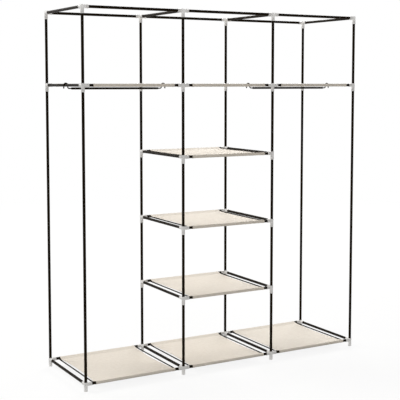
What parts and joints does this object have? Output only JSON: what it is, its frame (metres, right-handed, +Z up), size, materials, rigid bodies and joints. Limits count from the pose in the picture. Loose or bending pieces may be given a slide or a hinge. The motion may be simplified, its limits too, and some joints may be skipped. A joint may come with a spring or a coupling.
{
  "type": "portable fabric wardrobe",
  "caption": "Open wardrobe of thin dark steel tubes in pale plastic connectors, with a tier of fabric shelves between two hanging bays, a shelf level on top and hanging rods.",
  "frame": {"origin": "on the floor, at the middle of the wardrobe's width and depth", "axes": "+X to the right seen from the front, +Y from the front to the back, +Z up"},
  "size_m": [1.5036, 0.453, 1.699],
  "materials": {
    "tube_steel": "dark brown-black powder coat, satin",
    "connector_plastic": "milky white moulded plastic, satin",
    "foot_plastic": "pale grey moulded plastic, matt",
    "wire_steel": "dark coated steel wire, satin",
    "rod_steel": "dark coated steel, satin",
    "shelf_cloth": "cream non-woven fabric with a dimpled bond pattern, matt"
  },
  "bodies": {
    "frame": {"upright_front_1": "tube_steel", "upright_front_2": "tube_steel", "upright_front_3": "tube_steel", "upright_front_4": "tube_steel", "upright_back_1": "tube_steel", "upright_back_2": "tube_steel", "upright_back_3": "tube_steel", "upright_back_4": "tube_steel", "foot_front_1": "foot_plastic", "foot_front_2": "foot_plastic", "foot_front_3": "foot_plastic", "foot_front_4": "foot_plastic", "foot_back_1": "foot_plastic", "foot_back_2": "foot_plastic", "foot_back_3": "foot_plastic", "foot_back_4": "foot_plastic", "rung_bottom_1": "connector_plastic", "rung_bottom_2": "connector_plastic", "rung_bottom_3": "connector_plastic", "rung_bottom_4": "connector_plastic", "rung_low_2": "connector_plastic", "rung_low_3": "connector_plastic", "rung_middle_2": "connector_plastic", "rung_middle_3": "connector_plastic", "rung_high_2": "connector_plastic", "rung_high_3": "connector_plastic", "rung_hanger_1": "connector_plastic", "rung_hanger_2": "connector_plastic", "rung_hanger_3": "connector_plastic", "rung_hanger_4": "connector_plastic", "rung_top_1": "connector_plastic", "rung_top_2": "connector_plastic", "rung_top_3": "connector_plastic", "rung_top_4": "connector_plastic", "top_rail_front_left": "tube_steel", "top_rail_front_centre": "tube_steel", "top_rail_front_right": "tube_steel", "top_rail_back_left": "tube_steel", "top_rail_back_centre": "tube_steel", "top_rail_back_right": "tube_steel", "shelf_frame_bottom_left": "tube_steel", "shelf_frame_bottom_centre": "tube_steel", "shelf_frame_bottom_right": "tube_steel", "shelf_frame_low_centre": "tube_steel", "shelf_frame_middle_centre": "tube_steel", "shelf_frame_high_centre": "tube_steel", "shelf_frame_hanger_left": "tube_steel", "shelf_frame_hanger_centre": "tube_steel", "shelf_frame_hanger_right": "tube_steel", "shelf_fabric_bottom_left": "shelf_cloth", "shelf_fabric_bottom_centre": "shelf_cloth", "shelf_fabric_bottom_right": "shelf_cloth", "shelf_fabric_low_centre": "shelf_cloth", "shelf_fabric_middle_centre": "shelf_cloth", "shelf_fabric_high_centre": "shelf_cloth", "shelf_fabric_hanger_left": "shelf_cloth", "shelf_fabric_hanger_centre": "shelf_cloth", "shelf_fabric_hanger_right": "shelf_cloth"},
    "rod_left": {"hanging_rod_left": "rod_steel"},
    "rod_right": {"hanging_rod_right": "rod_steel"}
  },
  "joints": [
    {"name": "left_rod_slide", "type": "slide", "parent": "frame", "child": "rod_left", "axis": [0, 1, 0], "range_m": [-0.166, 0.206]},
    {"name": "right_rod_slide", "type": "slide", "parent": "frame", "child": "rod_right", "axis": [0, 1, 0], "range_m": [-0.186, 0.186]}
  ]
}
